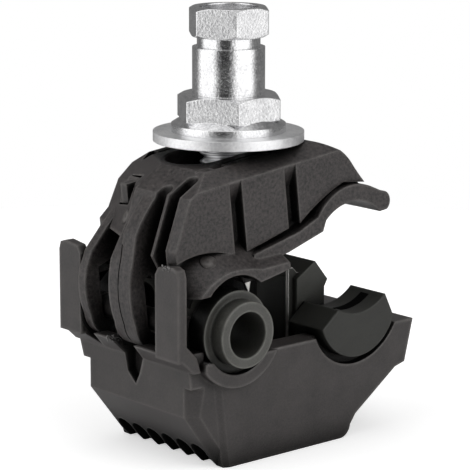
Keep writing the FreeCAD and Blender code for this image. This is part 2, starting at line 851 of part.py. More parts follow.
def level_jaw():
    """The jaw moulding before it is swung open."""
    web_half = half_depth - web_inset
    cavity_half = web_half - web_wall
    web = jaw_section(along_y(jaw_core_face(), -web_half, web_half), 0)
    sides = []
    for face in slab_faces():
        sides += both_ends(jaw_section(along_y(face, -web_half - slab_proud, -web_half + front_wall), slab_proud))
    sides += both_ends(along_y(rim_face(), -web_half - rim_proud, -web_half + front_wall))
    sides += both_ends(groove_heads())
    jaw = fused([web] + sides).cut(shoulder_cut())
    jaw = fused([jaw] + both_ends(hood()))
    top = jaw_top_z
    cuts = []
    # Arch over the tap sleeve
    cuts.append(rod_y(tap_collar_r + hood_clearance, tap_x, tap_z + hood_lift(), -reach, reach))
    # Cavity under the roof, round the bolt
    cuts.append(block(well_left + 1.4, slot_right - 0.8, -cavity_half, cavity_half, 0, top - roof_thickness))
    # Slot for the bolt
    ends = slot_half_width
    slot = block(slot_left + ends, slot_right - ends, -ends, ends, 0, reach)
    for x in (slot_left + ends, slot_right - ends):
        slot = slot.fuse(Part.makeCylinder(ends, reach, Vector(x, 0, 0)))
    cuts.append(slot)
    # Room for the posts at the corners
    post_inner = half_depth + post_proud - post_width
    cuts += both_ends(block(-reach, post_x + post_wall + 1.4, post_inner - hinge_gap, reach, 0, reach))
    # Two deep pockets beside the front arm, with a thin rib between them
    front = middle_arm_y - middle_arm_width - front_arm_width
    wall = web_half + slab_proud - front_wall
    middle = (front - wall) / 2
    for y0, y1, end_x in ((middle + pocket_rib / 2, front, first_pocket_x), (-wall, middle - pocket_rib / 2, second_pocket_x)):
        radius = (y1 - y0) / 2
        cuts.append(block(-reach, end_x - radius, y0, y1, 0, reach))
        cuts.append(Part.makeCylinder(radius, reach, Vector(end_x - radius, (y0 + y1) / 2, 0)))
    jaw = trimmed(jaw, cuts)
    jaw = fused([jaw] + jaw_arms())
    # Window between the rear arm and the middle arm
    more = [block(-reach, well_left, middle_arm_y, rear_arm_y, 0, top - shoulder_drop + 1.2)]
    more.append(along_shoulder(-reach / 10, reach / 10, window_width / 2, window_length / 2))
    inset = half_depth - upper_blade_inset
    blade_room = along_y(upper_blade_face(blade_gap), -inset - blade_thickness - blade_gap, -inset + blade_gap)
    return trimmed(jaw, more + both_ends(blade_room))


def jaw_insert():
    """The insert behind the shoulder: it fills the window and its lug stands out of it."""
    gap = insert_gap
    plug = along_shoulder(gap, insert_thickness, window_width / 2 - gap, window_length / 2 - gap)
    place, lean = window_frame()
    lug = block(-lug_proud, insert_thickness / 2, -lug_width / 2, lug_width / 2, -lug_drop, lug_length - lug_drop)
    lug.translate(place)
    inside = along_shoulder(-reach / 10, insert_thickness, window_width / 2 - gap, window_length / 2 - gap)
    return fused([plug, lug.common(inside)])


def upper_blade_face(grow):
    """A toothed plate across both grooves."""
    arch = tap_z + hood_lift() + tap_collar_r + hood_clearance
    low = jaw_top_z - jaw_groove_drop
    tooth = tooth_height
    left = tap_x - tap_bore_r - grow
    web_low = jaw_top_z - belly_drop - web_drop
    root_x = belly_x + web_drop / 4
    return outline(
        (left, arch + tooth / 4 - grow),
        (tap_x + tooth_pitch / 2, arch + tooth / 4 - grow),
        (root_x - grow, web_low + tooth / 4 - grow),
        (root_x + tooth_pitch / 3, web_low - 2 * tooth - grow),
        (root_x + tooth_pitch * 0.6 + grow, web_low + tooth / 4 - grow),
        (root_x + tooth_pitch * 0.8 + grow, arch + tooth),
        (jaw_groove_x - 3 * tooth_pitch, low - 2 * tooth - grow),
        (jaw_groove_x - tooth_pitch, low - 1.4 * tooth - grow),
        (jaw_groove_x - tooth_pitch / 2, low - tooth / 2 - grow),
        (jaw_groove_x, low - 1.4 * tooth - grow),
        (jaw_groove_x + tooth_pitch / 2, low - tooth / 2 - grow),
        (jaw_groove_x + tooth_pitch * 0.8 + grow, low - 1.2 * tooth - grow),
        (jaw_groove_x + tooth_pitch * 0.9 + grow, low + tooth),
        (jaw_groove_x - tooth_pitch * 0.6, low + 2.4 * tooth + grow),
        (left, arch + 4 * tooth + grow),
    )


def upper_blade():
    inset = half_depth - upper_blade_inset
    return along_y(upper_blade_face(0), -inset - blade_thickness, -inset)


def build():
    nodes = {
        "lower_body": lower_body(),
        "clamp_bolt": clamp_bolt(),
        "flat_washer": flat_washer(),
        "shear_nut": shear_nut(),
        "main_gasket_front": main_gasket(),
        "main_gasket_rear": mirrored(main_gasket()),
        "contact_boot": contact_boot(),
        "lower_blade_front": lower_blade(),
        "lower_blade_rear": mirrored(lower_blade()),
        "tap_sleeve": tap_sleeve(),
        "tap_end_cap": tap_end_cap(),
        "upper_jaw": opened(level_jaw()),
        "upper_blade_front": opened(upper_blade()),
        "upper_blade_rear": opened(mirrored(upper_blade())),
        "jaw_insert": opened(jaw_insert()),
    }
    os.makedirs("parts", exist_ok=True)
    for name, shape in nodes.items():
        print(name, "solids", len(shape.Solids), "valid", shape.isValid(), "volume", round(shape.Volume, 1))
        shape.exportStep("parts/" + name + ".step")


build()
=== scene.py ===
import bpy
import bmesh
import json
import math
from mathutils import Matrix, Vector
from mathutils.bvhtree import BVHTree


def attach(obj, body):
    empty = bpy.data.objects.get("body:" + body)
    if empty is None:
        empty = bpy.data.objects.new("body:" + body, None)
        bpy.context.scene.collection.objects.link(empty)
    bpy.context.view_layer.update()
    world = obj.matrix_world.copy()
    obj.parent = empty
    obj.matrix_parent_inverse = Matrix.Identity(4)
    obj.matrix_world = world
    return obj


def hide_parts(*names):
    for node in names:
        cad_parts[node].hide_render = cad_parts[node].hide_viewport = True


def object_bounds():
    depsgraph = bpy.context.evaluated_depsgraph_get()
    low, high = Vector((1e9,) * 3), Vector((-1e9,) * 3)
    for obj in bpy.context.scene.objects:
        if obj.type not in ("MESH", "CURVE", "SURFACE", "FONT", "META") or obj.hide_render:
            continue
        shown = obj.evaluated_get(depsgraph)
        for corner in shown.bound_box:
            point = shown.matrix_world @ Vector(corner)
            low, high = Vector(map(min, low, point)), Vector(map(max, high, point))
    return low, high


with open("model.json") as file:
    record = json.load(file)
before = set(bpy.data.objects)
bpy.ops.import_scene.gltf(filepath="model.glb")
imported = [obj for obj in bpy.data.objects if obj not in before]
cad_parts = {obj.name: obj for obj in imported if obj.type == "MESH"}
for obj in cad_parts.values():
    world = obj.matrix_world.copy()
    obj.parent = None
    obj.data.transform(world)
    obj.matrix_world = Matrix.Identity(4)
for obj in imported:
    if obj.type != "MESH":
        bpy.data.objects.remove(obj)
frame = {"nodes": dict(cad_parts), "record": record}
nodes = frame["nodes"]
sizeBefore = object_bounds()

# Camera of the photo, in degrees and metres
cameraSizes = {
    "azimuth": 40.806, "elevation": 11.935, "roll": 0.132, "distance": 0.310919,
    "focalPixels": 2232.193, "framePixels": 470, "sensor": 36.0, "target": (0.001224, 0.0, 0.028880),
}


def makeCamera(sizes):
    azimuth = math.radians(sizes["azimuth"])
    elevation = math.radians(sizes["elevation"])
    roll = math.radians(sizes["roll"])
    level = math.cos(elevation)
    back = Vector((-math.sin(azimuth) * level, -math.cos(azimuth) * level, math.sin(elevation)))
    right = Vector((math.cos(azimuth), -math.sin(azimuth), 0.0))
    up = back.cross(right)
    turnedRight = right * math.cos(roll) + up * math.sin(roll)
    turnedUp = up * math.cos(roll) - right * math.sin(roll)
    data = bpy.data.cameras.new("photoCamera")
    data.sensor_width = sizes["sensor"]
    data.lens = sizes["focalPixels"] / sizes["framePixels"] * sizes["sensor"]
    data.clip_start = 0.01
    data.clip_end = 20.0
    camera = bpy.data.objects.new("photoCamera", data)
    place = Matrix((turnedRight, turnedUp, back)).transposed().to_4x4()
    place.translation = Vector(sizes["target"]) + back * sizes["distance"]
    camera.matrix_world = place
    bpy.context.scene.collection.objects.link(camera)
    bpy.context.scene.camera = camera


# Adds and joins the nodes of one material, group or sky
class Graph:
    def __init__(self, tree):
        self.tree = tree

    def add(self, kind, **values):
        node = self.tree.nodes.new(kind)
        for name, value in values.items():
            setattr(node, name, value)
        return node

    def put(self, node, name, value):
        socket = node.inputs[name]
        if isinstance(value, bpy.types.NodeSocket):
            self.tree.links.new(value, socket)
        else:
            socket.default_value = value

    def noise(self, vector, scale, detail=3.0, rough=0.55):
        node = self.add("ShaderNodeTexNoise")
        self.put(node, "Vector", vector)
        self.put(node, "Scale", scale)
        self.put(node, "Detail", detail)
        self.put(node, "Roughness", rough)
        return node.outputs["Fac"]

    def remap(self, value, fromLow, fromHigh, toLow, toHigh):
        node = self.add("ShaderNodeMapRange")
        self.put(node, "Value", value)
        for name, number in (("From Min", fromLow), ("From Max", fromHigh), ("To Min", toLow), ("To Max", toHigh)):
            self.put(node, name, number)
        return node.outputs["Result"]

    def math(self, operation, first, second=None):
        node = self.add("ShaderNodeMath", operation=operation)
        self.put(node, 0, first)
        if second is not None:
            self.put(node, 1, second)
        return node.outputs[0]

    def mix(self, factor, first, second):
        node = self.add("ShaderNodeMix", data_type="RGBA")
        self.tree.links.new(factor, node.inputs[0])
        for index, value in ((6, first), (7, second)):
            if isinstance(value, bpy.types.NodeSocket):
                self.tree.links.new(value, node.inputs[index])
            else:
                node.inputs[index].default_value = value
        return node.outputs[2]


def groupWithInputs(name, inputs, outputs, kind="ShaderNodeTree"):
    group = bpy.data.node_groups.new(name, kind)
    for label, socketKind, default in inputs:
        socket = group.interface.new_socket(label, in_out="INPUT", socket_type=socketKind)
        if default is not None:
            socket.default_value = default
    for label, socketKind in outputs:
        group.interface.new_socket(label, in_out="OUTPUT", socket_type=socketKind)
    graph = Graph(group)
    return group, graph, graph.add("NodeGroupInput"), graph.add("NodeGroupOutput")


# How far the rounded normal leans at an edge, and how much of the painted edge highlight the patches leave
edgeLightSizes = {"samples": 6, "leanRange": (0.999, 0.82), "detail": 4.0, "patchRange": (0.36, 0.64), "kept": (0.55, 1.0)}


def makeEdgeHighlight():
    # Painted highlight on outer edges, broken up by noise, and the rounded normal there
    number = "NodeSocketFloat"
    group, graph, given, result = groupWithInputs(
        "edgeHighlight",
        [("Radius", number, 0.0004), ("Strength", number, 1.0), ("Breakup", number, 900.0)],
        [("Highlight", number), ("Normal", "NodeSocketVector")],
    )
    bevel = graph.add("ShaderNodeBevel", samples=edgeLightSizes["samples"])
    graph.put(bevel, "Radius", given.outputs["Radius"])
    geometry = graph.add("ShaderNodeNewGeometry")
    lean = graph.add("ShaderNodeVectorMath", operation="DOT_PRODUCT")
    graph.put(lean, 0, bevel.outputs["Normal"])
    graph.put(lean, 1, geometry.outputs["Normal"])
    edge = graph.remap(lean.outputs["Value"], *edgeLightSizes["leanRange"], 0.0, 1.0)
    place = graph.add("ShaderNodeTexCoord")
    patches = graph.noise(place.outputs["Object"], given.outputs["Breakup"], edgeLightSizes["detail"])
    kept = graph.remap(patches, *edgeLightSizes["patchRange"], *edgeLightSizes["kept"])
    edgeLight = graph.math("MULTIPLY", graph.math("MULTIPLY", edge, kept), given.outputs["Strength"])
    graph.put(result, "Highlight", edgeLight)
    graph.put(result, "Normal", bevel.outputs["Normal"])
    return group


grainSizes = {"fineDetail": 3.0, "fineRoughness": 0.7, "cloudDetail": 4.0, "cloudRoughness": 0.6}


def makeGrain():
    # Fine speckle with larger clouds under it: one value for colour, one for height
    number = "NodeSocketFloat"
    group, graph, given, result = groupWithInputs(
        "grain",
        [("Fine Scale", number, 5200.0), ("Cloud Scale", number, 260.0), ("Clouds", number, 0.35)],
        [("Tone", number), ("Height", number)],
    )
    place = graph.add("ShaderNodeTexCoord").outputs["Object"]
    fine = graph.noise(place, given.outputs["Fine Scale"], grainSizes["fineDetail"], grainSizes["fineRoughness"])
    cloud = graph.noise(place, given.outputs["Cloud Scale"], grainSizes["cloudDetail"], grainSizes["cloudRoughness"])
    blend = graph.add("ShaderNodeMix", data_type="FLOAT")
    graph.put(blend, 0, given.outputs["Clouds"])
    graph.put(blend, 2, fine)
    graph.put(blend, 3, cloud)
    graph.put(result, "Tone", blend.outputs[0])
    graph.put(result, "Height", fine)
    return group


def makeCreviceShade():
    # How open a place is, from 0 deep in a crevice to 1 on an outer face; the plastics use it to paint shade into
    # crevices
    number = "NodeSocketFloat"
    group, graph, given, result = groupWithInputs(
        "creviceShade",
        [("Distance", number, 0.006), ("Closed", number, 0.35), ("Open", number, 0.85)],
        [("Open", number)],
    )
    around = graph.add("ShaderNodeAmbientOcclusion", samples=6)
    graph.put(around, "Distance", given.outputs["Distance"])
    openness = graph.remap(around.outputs["AO"], given.outputs["Closed"], given.outputs["Open"], 0.0, 1.0)
    graph.put(result, "Open", openness)
    return group


def useGroup(graph, group, **values):
    node = graph.add("ShaderNodeGroup", node_tree=group)
    for name, value in values.items():
        graph.put(node, name.replace("_", " "), value)
    return node


def newMaterial(name):
    material = bpy.data.materials.new(name)
    material.use_nodes = True
    graph = Graph(material.node_tree)
    shader = material.node_tree.nodes["Principled BSDF"]
    return material, graph, shader


# What all plastics share: where the grain's tone and sheen begin and end, and how dark the painted shade in a crevice
# gets
plasticSizes = {
    "toneRange": (0.34, 0.68), "sheenRange": (0.3, 0.7), "reliefDepth": 0.00006,
    "paintedShadeTone": (0.004, 0.004, 0.004, 1.0), "shadedSheen": 0.06, "openSheen": 0.5,
}
# In each look, highlightTone is the pale tone of the painted highlight on edges
plasticLooks = {
    "blackNylon": {
        "dark": (0.026, 0.023, 0.0225, 1.0), "light": (0.064, 0.057, 0.055, 1.0), "highlightTone": (0.32, 0.3, 0.285, 1.0),
        "roughness": (0.36, 0.52), "edgeRadius": 0.0008, "edgeLight": 0.5, "breakup": 420.0,
        "grainScale": 4200.0, "clouds": 0.45, "relief": 0.35,
    },
    "coarseNylon": {
        "dark": (0.004, 0.0034, 0.0033, 1.0), "light": (0.08, 0.069, 0.067, 1.0), "highlightTone": (0.32, 0.3, 0.285, 1.0),
        "roughness": (0.32, 0.58), "edgeRadius": 0.0007, "edgeLight": 0.5, "breakup": 420.0,
        "grainScale": 2200.0, "clouds": 0.2, "relief": 1.0,
    },
    "sealRubber": {
        "dark": (0.028, 0.0285, 0.024, 1.0), "light": (0.052, 0.053, 0.046, 1.0), "highlightTone": (0.14, 0.14, 0.125, 1.0),
        "roughness": (0.45, 0.6), "edgeRadius": 0.0004, "edgeLight": 0.4, "breakup": 800.0,
        "grainScale": 4200.0, "clouds": 0.5, "relief": 0.2,
    },
    # A darker copy of the seal rubber: painted shade on the gaskets and lips
    "shadedGasketRubber": {
        "dark": (0.017, 0.0172, 0.0145, 1.0), "light": (0.033, 0.0335, 0.029, 1.0), "highlightTone": (0.1, 0.1, 0.09, 1.0),
        "roughness": (0.48, 0.62), "edgeRadius": 0.0005, "edgeLight": 0.5, "breakup": 800.0,
        "grainScale": 4200.0, "clouds": 0.5, "relief": 0.2,
    },
    # A lighter copy of the seal rubber with stronger edge light: painted highlight on the sleeve and end cap
    "litSleeveRubber": {
        "dark": (0.05, 0.0495, 0.044, 1.0), "light": (0.105, 0.104, 0.094, 1.0), "highlightTone": (0.3, 0.3, 0.27, 1.0),
        "roughness": (0.3, 0.42), "edgeRadius": 0.0006, "edgeLight": 0.8, "breakup": 800.0,
        "grainScale": 4200.0, "clouds": 0.4, "relief": 0.3,
    },
    "scarGrey": {
        "dark": (0.02, 0.019, 0.018, 1.0), "light": (0.4, 0.39, 0.38, 1.0), "highlightTone": (0.4, 0.4, 0.4, 1.0),
        "roughness": (0.35, 0.5), "edgeRadius": 0.00005, "edgeLight": 0.4, "breakup": 900.0,
        "grainScale": 5200.0, "clouds": 0.2, "relief": 0.2,
    },
}
metalSizes = {
    "toneRange": (0.38, 0.62), "sheenRange": (0.35, 0.65), "cloudScale": 420.0, "clouds": 0.4,
    "edgeRadius": 0.00022, "edgeLight": 0.7, "breakup": 700.0, "highlightTone": (0.95, 0.95, 0.95, 1.0),
}
metalLooks = {
    "brightZinc": {
        "dark": (0.58, 0.58, 0.59, 1.0), "light": (0.93, 0.93, 0.935, 1.0), "roughness": (0.1, 0.22),
        "grainScale": 3000.0, "relief": 0.7, "reliefDepth": 0.00005,
    },
    "dullZinc": {
        "dark": (0.8, 0.8, 0.81, 1.0), "light": (0.97, 0.97, 0.975, 1.0), "roughness": (0.36, 0.5),
        "grainScale": 2600.0, "relief": 0.7, "reliefDepth": 0.00006,
    },
    "tinnedCopper": {
        "dark": (0.5, 0.49, 0.47, 1.0), "light": (0.7, 0.69, 0.66, 1.0), "roughness": (0.25, 0.4),
        "grainScale": 3600.0, "relief": 0.3, "reliefDepth": 0.00002,
    },
}
# Near-black colour of the painted shade in narrow gaps
gapShadeLook = {
    "dark": (0.001, 0.001, 0.001, 1.0), "light": (0.004, 0.004, 0.004, 1.0), "roughness": 0.9, "sheen": 0.03,
}
shankLook = {
    "darkTone": (0.006, 0.006, 0.006, 1.0), "dark": (0.8, 0.8, 0.81, 1.0), "light": (0.97, 0.97, 0.975, 1.0),
    "darkTop": 0.033, "fade": 0.002, "grainScale": 2600.0, "clouds": 0.4,
    "sheenRange": (0.3, 0.7), "roughness": (0.25, 0.4), "darkSheen": 0.05, "brightSheen": 0.5,
}
bladeLook = {
    "darkTone": (0.012, 0.012, 0.011, 1.0), "paleFlatTone": (0.06, 0.06, 0.055, 1.0), "brightMetal": (0.78, 0.77, 0.74, 1.0),
    "edgeRadius": 0.00025, "edgeLight": 1.6, "breakup": 1600.0, "flatFrom": 0.6, "thinTo": 0.4, "clouds": 0.6,
    "sheenRange": (0.3, 0.7), "roughness": (0.35, 0.5), "darkMetal": 0.2, "darkSheen": 0.15, "brightSheen": 0.5,
}


def addRelief(graph, shader, speckle, edgeHighlightNode, strength, depth):
    bump = graph.add("ShaderNodeBump")
    graph.put(bump, "Strength", strength)
    graph.put(bump, "Distance", depth)
    graph.put(bump, "Height", speckle.outputs["Height"])
    graph.put(bump, "Normal", edgeHighlightNode.outputs["Normal"])
    graph.put(shader, "Normal", bump.outputs["Normal"])


def makePlastic(name, look):
    # Moulded plastic or rubber: speckled tone, uneven sheen, a painted highlight on its edges and painted shade in
    # its crevices
    sizes = plasticSizes
    material, graph, shader = newMaterial(name)
    speckle = useGroup(graph, grain, Fine_Scale=look["grainScale"], Clouds=look["clouds"])
    edgeHighlightNode = useGroup(graph, edgeHighlight, Radius=look["edgeRadius"], Strength=look["edgeLight"], Breakup=look["breakup"])
    openness = useGroup(graph, creviceShade).outputs["Open"]
    tone = graph.remap(speckle.outputs["Tone"], *sizes["toneRange"], 0.0, 1.0)
    colour = graph.mix(tone, look["dark"], look["light"])
    # Painted highlight: edges are mixed towards a pale tone
    colour = graph.mix(edgeHighlightNode.outputs["Highlight"], colour, look["highlightTone"])
    # Painted shade: crevices turn near black and lose most of their sheen
    sheen = graph.remap(openness, 0.0, 1.0, sizes["shadedSheen"], sizes["openSheen"])
    graph.put(shader, "Base Color", graph.mix(openness, sizes["paintedShadeTone"], colour))
    graph.put(shader, "Specular IOR Level", sheen)
    graph.put(shader, "Roughness", graph.remap(speckle.outputs["Tone"], *sizes["sheenRange"], *look["roughness"]))
    addRelief(graph, shader, speckle, edgeHighlightNode, look["relief"], sizes["reliefDepth"])
    return material


def makeMetal(name, look):
    # Plated metal: pitted in patches, with a painted highlight on its edges
    sizes = metalSizes
    material, graph, shader = newMaterial(name)
    speckle = useGroup(
        graph, grain, Fine_Scale=look["grainScale"], Cloud_Scale=sizes["cloudScale"], Clouds=sizes["clouds"],
    )
    edgeHighlightNode = useGroup(graph, edgeHighlight, Radius=sizes["edgeRadius"], Strength=sizes["edgeLight"], Breakup=sizes["breakup"])
    tone = graph.remap(speckle.outputs["Tone"], *sizes["toneRange"], 0.0, 1.0)
    colour = graph.mix(tone, look["dark"], look["light"])
    # Painted highlight: edges are mixed towards near white
    graph.put(shader, "Base Color", graph.mix(edgeHighlightNode.outputs["Highlight"], colour, sizes["highlightTone"]))
    graph.put(shader, "Metallic", 1.0)
    graph.put(shader, "Roughness", graph.remap(speckle.outputs["Tone"], *sizes["sheenRange"], *look["roughness"]))
    addRelief(graph, shader, speckle, edgeHighlightNode, look["relief"], look["reliefDepth"])
    return material


def makeGapShade(name, look):
    # Painted shade for a narrow gap in which hardly any light is left
    material, graph, shader = newMaterial(name)
    speckle = useGroup(graph, grain)
    graph.put(shader, "Base Color", graph.mix(speckle.outputs["Tone"], look["dark"], look["light"]))
    graph.put(shader, "Roughness", look["roughness"])
    graph.put(shader, "Specular IOR Level", look["sheen"])
    return material


def makeShank(name, look):
    # The bolt: bright at the top, black lower down inside the housing
    material, graph, shader = newMaterial(name)
    axes = graph.add("ShaderNodeSeparateXYZ")
    graph.put(axes, "Vector", graph.add("ShaderNodeTexCoord").outputs["Object"])
    brightMetal = graph.remap(axes.outputs["Z"], look["darkTop"] - look["fade"], look["darkTop"], 0.0, 1.0)
    speckle = useGroup(graph, grain, Fine_Scale=look["grainScale"], Clouds=look["clouds"])
    colour = graph.mix(speckle.outputs["Tone"], look["dark"], look["light"])
    graph.put(shader, "Base Color", graph.mix(brightMetal, look["darkTone"], colour))
    graph.put(shader, "Metallic", brightMetal)
    graph.put(shader, "Specular IOR Level", graph.remap(brightMetal, 0.0, 1.0, look["darkSheen"], look["brightSheen"]))
    graph.put(shader, "Roughness", graph.remap(speckle.outputs["Tone"], *look["sheenRange"], *look["roughness"]))
    return material


def makeBlade(name, look):
    # A contact blade: dark on its flat faces, bright tin on its thin edges, with a painted highlight on its rims
    material, graph, shader = newMaterial(name)
    edgeHighlightNode = useGroup(graph, edgeHighlight, Radius=look["edgeRadius"], Strength=look["edgeLight"], Breakup=look["breakup"])
    axes = graph.add("ShaderNodeSeparateXYZ")
    graph.put(axes, "Vector", graph.add("ShaderNodeNewGeometry").outputs["Normal"])
    thin = graph.remap(graph.math("ABSOLUTE", axes.outputs["Y"]), look["flatFrom"], look["thinTo"], 0.0, 1.0)
    # Painted highlight: the rims of the flat faces also turn to bright tin
    brightMetal = graph.math("MINIMUM", graph.math("ADD", thin, edgeHighlightNode.outputs["Highlight"]), 1.0)
    speckle = useGroup(graph, grain, Clouds=look["clouds"])
    flat = graph.mix(speckle.outputs["Tone"], look["darkTone"], look["paleFlatTone"])
    graph.put(shader, "Base Color", graph.mix(brightMetal, flat, look["brightMetal"]))
    graph.put(shader, "Metallic", graph.remap(brightMetal, 0.0, 1.0, look["darkMetal"], 1.0))
    graph.put(shader, "Specular IOR Level", graph.remap(brightMetal, 0.0, 1.0, look["darkSheen"], look["brightSheen"]))
    graph.put(shader, "Roughness", graph.remap(speckle.outputs["Tone"], *look["sheenRange"], *look["roughness"]))
    graph.put(shader, "Normal", edgeHighlightNode.outputs["Normal"])
    return material


grain = makeGrain()
edgeHighlight = makeEdgeHighlight()
creviceShade = makeCreviceShade()
plastics = {name: makePlastic(name, look) for name, look in plasticLooks.items()}
metals = {name: makeMetal(name, look) for name, look in metalLooks.items()}
paintedGapShade = makeGapShade("paintedGapShade", gapShadeLook)
darkLowShank = makeShank("darkLowShank", shankLook)
darkFacedBlade = makeBlade("darkFacedBlade", bladeLook)

slotLooks = {
    "body_plastic": plastics["blackNylon"], "seal_rubber": plastics["sealRubber"],
    "zinc_steel": metals["brightZinc"], "tinned_copper": metals["tinnedCopper"],
}
# Pieces whose finish differs from the rest of their slot. The gaskets take a darker copy of the seal rubber as
# painted shade, the sleeve and end cap a lighter copy as painted highlight
nodeLooks = {
    "upper_jaw": plastics["coarseNylon"], "flat_washer": metals["dullZinc"], "clamp_bolt": metals["dullZinc"],
    "main_gasket_front": plastics["shadedGasketRubber"], "main_gasket_rear": plastics["shadedGasketRubber"],
    "lower_blade_front": darkFacedBlade, "lower_blade_rear": darkFacedBlade,
    "tap_sleeve": plastics["litSleeveRubber"], "tap_end_cap": plastics["litSleeveRubber"],
}
for part in frame["record"]["subparts"]:
    piece = nodes[part["node"]]
    piece.data.materials.clear()
    piece.data.materials.append(nodeLooks.get(part["node"], slotLooks[part["material_slot"]]))
print("materials done")

# Small forms that the photo shows on the solids. Sizes in metres.


def finishPiece(name, points, faces, material, body, smooth=False):
    data = bpy.data.meshes.new(name)
    data.from_pydata([tuple(point) for point in points], [], faces)
    data.materials.append(material)
    piece = bpy.data.objects.new(name, data)
    bpy.context.scene.collection.objects.link(piece)
    return ridePiece(piece, body, smooth)


def ridePiece(piece, body, smooth=False):
    mesh = bmesh.new()
    mesh.from_mesh(piece.data)
    bmesh.ops.recalc_face_normals(mesh, faces=mesh.faces)
    mesh.to_mesh(piece.data)
    mesh.free()
    for face in piece.data.polygons:
        face.use_smooth = smooth
    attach(piece, body)
    return piece


def surfaceOf(node):
    # For finding places on a CAD piece's surface
    data = nodes[node].data
    corners = [vertex.co.copy() for vertex in data.vertices]
    return BVHTree.FromPolygons(corners, [list(face.vertices) for face in data.polygons])


def ringOf(sides, radius, height):
    turns = [math.tau * step / sides for step in range(sides)]
    return [(radius * math.cos(turn), radius * math.sin(turn), height) for turn in turns]


def stacked(rings):
    # Points and faces of a closed solid through rings with the same number of corners
    sides = len(rings[0])
    points = [point for ring in rings for point in ring]
    faces = []
    for level in range(len(rings) - 1):
        for step in range(sides):
            near = level * sides + step
            far = level * sides + (step + 1) % sides
            faces.append((near, far, far + sides, near + sides))
    faces.append(tuple(range(sides))[::-1])
    faces.append(tuple(range(len(points) - sides, len(points))))
    return points, faces


def paintTree(graph, result, geometry, material):
    # A Geometry Nodes tree ends with real, painted mesh
    real = graph.add("GeometryNodeRealizeInstances")
    graph.put(real, "Geometry", geometry)
    painted = graph.add("GeometryNodeSetMaterial")
    graph.put(painted, "Geometry", real.outputs["Geometry"])
    painted.inputs["Material"].default_value = material
    graph.put(result, "Mesh", painted.outputs["Geometry"])


def bakeNodes(name, group, values):
    # Runs a node group on an empty mesh and keeps only the mesh that it makes
    holder = bpy.data.objects.new(name, bpy.data.meshes.new(name))
    bpy.context.scene.collection.objects.link(holder)
    modifier = holder.modifiers.new(name, "NODES")
    modifier.node_group = group
    for item in group.interface.items_tree:
        if item.item_type == "SOCKET" and item.in_out == "INPUT" and item.name in values:
            modifier[item.identifier] = values[item.name]
    bpy.context.view_layer.update()
    baked = bpy.data.meshes.new_from_object(holder.evaluated_get(bpy.context.evaluated_depsgraph_get()))
    holder.modifiers.remove(modifier)
    holder.data = baked
    return holder


# The thread's flank runs between these shares of half a turn
threadShape = {"rootShare": 0.1, "crestShare": 0.85, "weld": 0.000001}


def makeThreadTube(material):
    # A tube whose radius runs up and down in a helix
    number, whole = "NodeSocketFloat", "NodeSocketInt"
    inputs = [("Low Radius", number, 0.0034), ("High Radius", number, 0.004), ("Pitch", number, 0.00125)]
    inputs += [("Low", number, 0.0), ("Length", number, 0.01), ("Rows", whole, 100), ("Sides", whole, 56)]
    group, graph, start, result = groupWithInputs(
        "threadTube", inputs, [("Mesh", "NodeSocketGeometry")], "GeometryNodeTree",
    )
    given = start.outputs
    grid = graph.add("GeometryNodeMeshGrid")
    graph.put(grid, "Size X", 1.0)
    graph.put(grid, "Size Y", 1.0)
    graph.put(grid, "Vertices X", given["Sides"])
    graph.put(grid, "Vertices Y", given["Rows"])
    axes = graph.add("ShaderNodeSeparateXYZ")
    graph.put(axes, "Vector", graph.add("GeometryNodeInputPosition").outputs[0])
    turn = graph.math("ADD", axes.outputs["X"], 0.5)
    rise = graph.math("MULTIPLY", graph.math("ADD", axes.outputs["Y"], 0.5), given["Length"])
    phase = graph.math("FRACT", graph.math("SUBTRACT", graph.math("DIVIDE", rise, given["Pitch"]), turn))
    flank = graph.math("ABSOLUTE", graph.math("SUBTRACT", graph.math("MULTIPLY", phase, 2.0), 1.0))
    shares = (threadShape["rootShare"], threadShape["crestShare"])
    radius = graph.remap(flank, *shares, given["Low Radius"], given["High Radius"])
    angle = graph.math("MULTIPLY", turn, math.tau)
    place = graph.add("ShaderNodeCombineXYZ")
    graph.put(place, "X", graph.math("MULTIPLY", radius, graph.math("COSINE", angle)))
    graph.put(place, "Y", graph.math("MULTIPLY", radius, graph.math("SINE", angle)))
    graph.put(place, "Z", graph.math("ADD", rise, given["Low"]))
    moved = graph.add("GeometryNodeSetPosition")
    graph.put(moved, "Geometry", grid.outputs["Mesh"])
    graph.put(moved, "Position", place.outputs["Vector"])
    welded = graph.add("GeometryNodeMergeByDistance")
    graph.put(welded, "Geometry", moved.outputs["Geometry"])
    graph.put(welded, "Distance", threadShape["weld"])
    paintTree(graph, result, welded.outputs["Geometry"], material)
    return group


# Bolt with its thread, which stands for the plain CAD bolt
boltSizes = {
    "headFlats": 0.013, "headLow": 0.0015, "headHigh": 0.0068, "headOverlap": 0.0001,
    "shankRadius": 0.004, "shankSides": 48, "rootRadius": 0.00336, "runOut": 0.0006, "endSwell": 1.01, "end": 0.0526,
    "crestRadius": 0.00398, "threadLow": 0.024, "threadHigh": 0.0524, "pitch": 0.00125,
    "rowsPerTurn": 10, "sides": 56,
}


